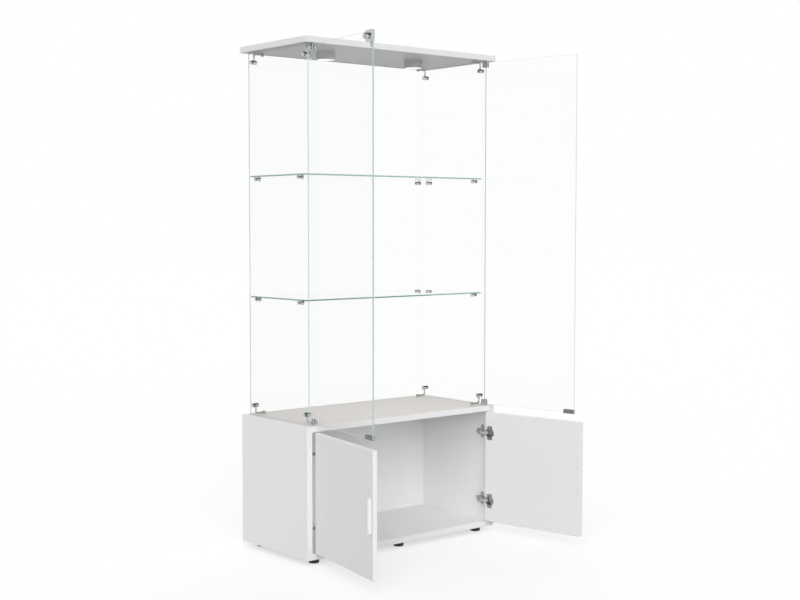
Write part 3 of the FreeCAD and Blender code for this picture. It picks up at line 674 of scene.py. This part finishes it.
class CABINET_OT_hinges(bpy.types.Operator):
    """Gives the concealed hinges and the lock's cam and nut their nickel plating"""

    bl_idname = "cabinet.hinges"
    bl_label = "Hinges"

    def execute(self, context):
        nickel = metal("nickel_plating", finishes().steel_colour, roughness=(0.2, 0.34), scale=220.0)
        dress(nickel, ["hinge_plates", "hinge_arms", "lock_cam", "lock_nut"])
        dress(nickel, both("{}_hinge_cups", "{}_hinge_links"))
        return {"FINISHED"}


class CABINET_OT_screws(bpy.types.Operator):
    """Replaces the plain screws by pan heads with a cross recess"""

    bl_idname = "cabinet.screws"
    bl_label = "Screws"

    def execute(self, context):
        zinc = metal("zinc_screw", scaled(finishes().steel_colour, SCREW_TONE), roughness=(0.22, 0.38),
                     scale=500.0)
        nodes = ["foot_screws", "bracket_screws", "puck_screws", "hinge_plate_screws"]
        nodes += both("{}_clamp_screws", "{}_handle_screws", "{}_cup_screws")
        for node in nodes:
            shape = bmesh.new()
            for points in islands(node):
                add_screw(shape, screw_measures(points))
            dress(zinc, [node])
            piece = mesh_piece("cross_" + node, shape, node, zinc)
            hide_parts(node)
        return {"FINISHED"}


class CABINET_OT_screw_caps(bpy.types.Operator):
    """Covers the handle screws with domed white caps, in a darker copy of the board colour: painted shade
    against the light the domes catch
    """

    bl_idname = "cabinet.screw_caps"
    bl_label = "Screw caps"

    def execute(self, context):
        # Painted shade: the caps take a darker copy of the board colour, so their side-lit domes don't
        # stand out
        white = plastic("cap_plastic_painted_shade", scaled(finishes().board_colour, CAP_PAINTED_SHADE), roughness=0.42,
                        grain_scale=900.0, grain_depth=0.00002)
        for side in SIDES:
            node = f"{side}_handle_screws"
            shape = bmesh.new()
            for points in islands(node):
                add_cap(shape, screw_measures(points))
            mesh_piece(f"{side}_handle_screw_caps", shape, node, white)
        return {"FINISHED"}


class CABINET_OT_puck_lights(bpy.types.Operator):
    """Finishes the puck lights and adds the light chips on their boards"""

    bl_idname = "cabinet.puck_lights"
    bl_label = "Puck lights"

    def execute(self, context):
        settings = finishes()
        satin = plastic("puck_lacquer", settings.puck_colour, roughness=0.36, grain_scale=700.0,
                        grain_depth=0.00003)
        dress(satin, both("puck_housing_{}"))
        frosted = plastic("frosted_diffuser", settings.diffuser_colour, roughness=0.4, grain_scale=900.0,
                          grain_depth=0.00003)
        frosted.shader.inputs["Transmission Weight"].default_value = DIFFUSER_TRANSMISSION
        frosted.shader.inputs["Emission Color"].default_value = opaque(settings.diffuser_colour)
        frosted.shader.inputs["Emission Strength"].default_value = DIFFUSER_GLOW
        dress(frosted, both("puck_lens_{}"))
        board = plastic("led_board_lacquer", settings.diffuser_colour, roughness=0.35, grain_scale=600.0,
                        grain_depth=0.00002)
        dress(board, ["puck_led_boards"])
        phosphor = plastic("led_phosphor", settings.phosphor_colour, roughness=0.45, grain_scale=1200.0,
                           grain_depth=0.00002)
        shape = bmesh.new()
        for points in islands("puck_led_boards"):
            add_chips(shape, points)
        mesh_piece("puck_light_chips", shape, "puck_led_boards", phosphor)
        return {"FINISHED"}


class CABINET_OT_feet(bpy.types.Operator):
    """Gives the feet their moulded black plastic"""

    bl_idname = "cabinet.feet"
    bl_label = "Feet"

    def execute(self, context):
        moulded = plastic("foot_plastic", finishes().foot_colour, roughness=0.5, grain_scale=1500.0,
                          grain_depth=0.00008)
        dress(moulded, ["front_feet", "rear_feet"])
        return {"FINISHED"}


class CABINET_OT_handles(bpy.types.Operator):
    """Gives the door pulls their brushed aluminium"""

    bl_idname = "cabinet.handles"
    bl_label = "Handles"

    def execute(self, context):
        brushed = metal("brushed_aluminium", finishes().handle_colour, roughness=(0.26, 0.42), scale=60.0,
                        stretch=(40.0, 40.0, 1.0))
        dress(brushed, both("{}_handle"))
        return {"FINISHED"}


class CABINET_OT_inner_parts(bpy.types.Operator):
    """Gives the clamp pads, pivot bushes and dowels their rubber, nylon and beech"""

    bl_idname = "cabinet.inner_parts"
    bl_label = "Pads, bushes and dowels"

    def execute(self, context):
        settings = finishes()
        rubber = plastic("pad_rubber", settings.pad_colour, roughness=0.6, grain_scale=1800.0,
                         grain_depth=0.00004)
        dress(rubber, both("{}_clamp_pads"))
        nylon = plastic("bush_nylon", settings.bush_colour, roughness=0.4, grain_scale=1500.0,
                        grain_depth=0.00003)
        dress(nylon, ["pivot_bushes"])
        beech = Finish("dowel_beech")
        grain = beech.noise(scale=70.0, detail=6.0, stretch=(0.08, 1.0, 1.0))
        beech.shades(grain, settings.dowel_colour, DOWEL_TONES)
        beech.spread(grain, *DOWEL_ROUGHNESS, "Roughness")
        beech.relief(grain, DOWEL_RELIEF)
        dress(beech, ["carcass_dowels"])
        return {"FINISHED"}


class CABINET_OT_stage(bpy.types.Operator):
    """Sets the floor, the light and the camera"""

    bl_idname = "cabinet.stage"
    bl_label = "Stage"

    def execute(self, context):
        context.scene.view_settings.view_transform = "Standard"
        self.light_world(context.scene)
        self.add_floor()
        settings = stage_settings()
        self.add_lamp("key_light", settings.key_strength, settings.key_direction)
        self.add_lamp("fill_light", settings.fill_strength, settings.fill_direction)
        self.add_lamp("back_light", settings.back_strength, settings.back_direction)
        self.add_camera(context.scene)
        return {"FINISHED"}

    def seen_directly(self, tree, rays):
        """1 for what is seen straight, mirrored or through glass, 0 for light off a matt surface."""
        seen = calculate(tree, "MAXIMUM", rays.outputs["Is Camera Ray"], rays.outputs["Is Glossy Ray"])
        seen = calculate(tree, "MAXIMUM", seen, rays.outputs["Is Transmission Ray"])
        unscattered = calculate(tree, "LESS_THAN", rays.outputs["Diffuse Depth"], FIRST_BOUNCE)
        return calculate(tree, "MULTIPLY", seen, unscattered)

    def mirrored_studio(self, tree):
        """Upright bright panels that metal and glass mirror, dark between them above the horizon."""
        settings = stage_settings()
        directions = tree.nodes.new("ShaderNodeTexCoord")
        parts = tree.nodes.new("ShaderNodeSeparateXYZ")
        tree.links.new(directions.outputs["Generated"], parts.inputs["Vector"])
        azimuth = calculate(tree, "ARCTAN2", parts.outputs["Y"], parts.outputs["X"])
        azimuth = calculate(tree, "SUBTRACT", azimuth, settings.mirrored_turn)
        wave = calculate(tree, "MULTIPLY", azimuth, settings.mirrored_panels)
        wave = calculate(tree, "COSINE", wave)
        widening = map_range(tree, parts.outputs["Z"], HORIZON_BAND, (HORIZON_WIDENING, 0.0), "SMOOTHSTEP")
        panels = calculate(tree, "ADD", wave, widening)
        return map_range(tree, panels, PANEL_EDGE, (settings.mirrored_dark, 1.0), "SMOOTHSTEP")

    def light_world(self, scene):
        """Soft light for the object; white where it is seen, bright panels where it is mirrored."""
        world = bpy.data.worlds.new("studio")
        world.use_nodes = True
        scene.world = world
        tree = world.node_tree
        rays = tree.nodes.new("ShaderNodeLightPath")
        soft = tree.nodes["Background"]
        white = tree.nodes.new("ShaderNodeBackground")
        panels = tree.nodes.new("ShaderNodeBackground")
        for background in (soft, white, panels):
            background.inputs["Color"].default_value = WHITE
        soft.inputs["Strength"].default_value = stage_settings().ambient
        tree.links.new(self.mirrored_studio(tree), panels.inputs["Strength"])
        mirrored = calculate(tree, "GREATER_THAN", rays.outputs["Glossy Depth"], FIRST_BOUNCE)
        shown = self.choose(tree, mirrored, white.outputs["Background"], panels.outputs["Background"])
        seen = self.seen_directly(tree, rays)
        light = self.choose(tree, seen, soft.outputs["Background"], shown)
        tree.links.new(light, tree.nodes["World Output"].inputs["Surface"])

    def choose(self, tree, choice, first, second):
        """The first shader where choice is 0, the second where it is 1."""
        mix = tree.nodes.new("ShaderNodeMixShader")
        tree.links.new(choice, mix.inputs["Fac"])
        tree.links.new(first, mix.inputs[1])
        tree.links.new(second, mix.inputs[2])
        return mix.outputs["Shader"]

    def floor_material(self):
        settings = stage_settings()
        material = bpy.data.materials.new("studio_floor")
        material.use_nodes = True
        tree = material.node_tree
        tree.nodes.remove(tree.nodes["Principled BSDF"])
        rays = tree.nodes.new("ShaderNodeLightPath")
        matt = tree.nodes.new("ShaderNodeBsdfDiffuse")
        matt.inputs["Color"].default_value = opaque(settings.floor_colour)
        lift = calculate(tree, "MULTIPLY", self.seen_directly(tree, rays), settings.floor_lift)
        glow = tree.nodes.new("ShaderNodeEmission")
        tree.links.new(lift, glow.inputs["Strength"])
        lifted = tree.nodes.new("ShaderNodeAddShader")
        tree.links.new(matt.outputs["BSDF"], lifted.inputs[0])
        tree.links.new(glow.outputs["Emission"], lifted.inputs[1])
        tree.links.new(lifted.outputs["Shader"], tree.nodes["Material Output"].inputs["Surface"])
        return material

    def add_floor(self):
        shape = bmesh.new()
        bmesh.ops.create_grid(shape, x_segments=1, y_segments=1, size=stage_settings().floor_size / 2)
        level = CAD_BOX[0][2] - FLOOR_CLEARANCE
        bmesh.ops.translate(shape, verts=shape.verts, vec=(0.0, 0.0, level))
        mesh = bpy.data.meshes.new("studio_floor")
        shape.to_mesh(mesh)
        shape.free()
        mesh.materials.append(self.floor_material())
        plane = bpy.data.objects.new("studio_floor", mesh)
        bpy.context.collection.objects.link(plane)

    def add_lamp(self, name, energy, direction):
        """Adds a broad lamp that lights the object but isn't mirrored or seen through glass."""
        lamp = bpy.data.lights.new(name, "SUN")
        lamp.energy = energy
        lamp.angle = stage_settings().lamp_spread
        holder = bpy.data.objects.new(name, lamp)
        holder.rotation_euler = Vector(direction).to_track_quat("Z", "Y").to_euler()
        holder.visible_glossy = False
        holder.visible_transmission = False
        bpy.context.collection.objects.link(holder)

    def add_camera(self, scene):
        settings = stage_settings()
        lens = bpy.data.cameras.new("camera")
        lens.sensor_width = SENSOR_WIDTH
        lens.lens = settings.focal_pixels * SENSOR_WIDTH / IMAGE_WIDTH
        lens.shift_x = (IMAGE_WIDTH / 2 - settings.centre_x) / IMAGE_WIDTH
        lens.shift_y = (settings.centre_y - IMAGE_HEIGHT / 2) / IMAGE_WIDTH
        lens.clip_end = CAMERA_REACH
        camera = bpy.data.objects.new("camera", lens)
        camera.location = settings.camera_place
        camera.rotation_euler = settings.camera_turn
        bpy.context.collection.objects.link(camera)
        scene.camera = camera


STEPS = (
    CABINET_OT_boards,
    CABINET_OT_glass,
    CABINET_OT_chrome,
    CABINET_OT_hinges,
    CABINET_OT_screws,
    CABINET_OT_screw_caps,
    CABINET_OT_puck_lights,
    CABINET_OT_feet,
    CABINET_OT_handles,
    CABINET_OT_inner_parts,
    CABINET_OT_stage,
)
SETTINGS = {
    "cabinet_finishes": CabinetFinishSettings,
    "cabinet_parts": CabinetPartSettings,
    "cabinet_stage": CabinetStageSettings,
}


class CABINET_PT_panel(bpy.types.Panel):
    """Lists the steps that dress the cabinet, and their settings"""

    bl_idname = "CABINET_PT_panel"
    bl_label = "Glass display cabinet"
    bl_space_type = "VIEW_3D"
    bl_region_type = "UI"
    bl_category = "Cabinet"

    def draw(self, context):
        for step in STEPS:
            self.layout.operator(step.bl_idname)
        for group, settings in SETTINGS.items():
            box = self.layout.box()
            for name in settings.__annotations__:
                box.prop(getattr(context.scene, group), name)


def register():
    for group, settings in SETTINGS.items():
        bpy.utils.register_class(settings)
        setattr(bpy.types.Scene, group, PointerProperty(type=settings))
    for part in STEPS + (CABINET_PT_panel,):
        bpy.utils.register_class(part)


def unregister():
    for part in (CABINET_PT_panel,) + STEPS:
        bpy.utils.unregister_class(part)
    for group, settings in SETTINGS.items():
        delattr(bpy.types.Scene, group)
        bpy.utils.unregister_class(settings)


def main():
    register()
    bpy.ops.cabinet.boards()
    bpy.ops.cabinet.glass()
    bpy.ops.cabinet.chrome()
    bpy.ops.cabinet.hinges()
    bpy.ops.cabinet.screws()
    bpy.ops.cabinet.screw_caps()
    bpy.ops.cabinet.puck_lights()
    bpy.ops.cabinet.feet()
    bpy.ops.cabinet.handles()
    bpy.ops.cabinet.inner_parts()
    bpy.ops.cabinet.stage()


if __name__ == "__main__":
    main()
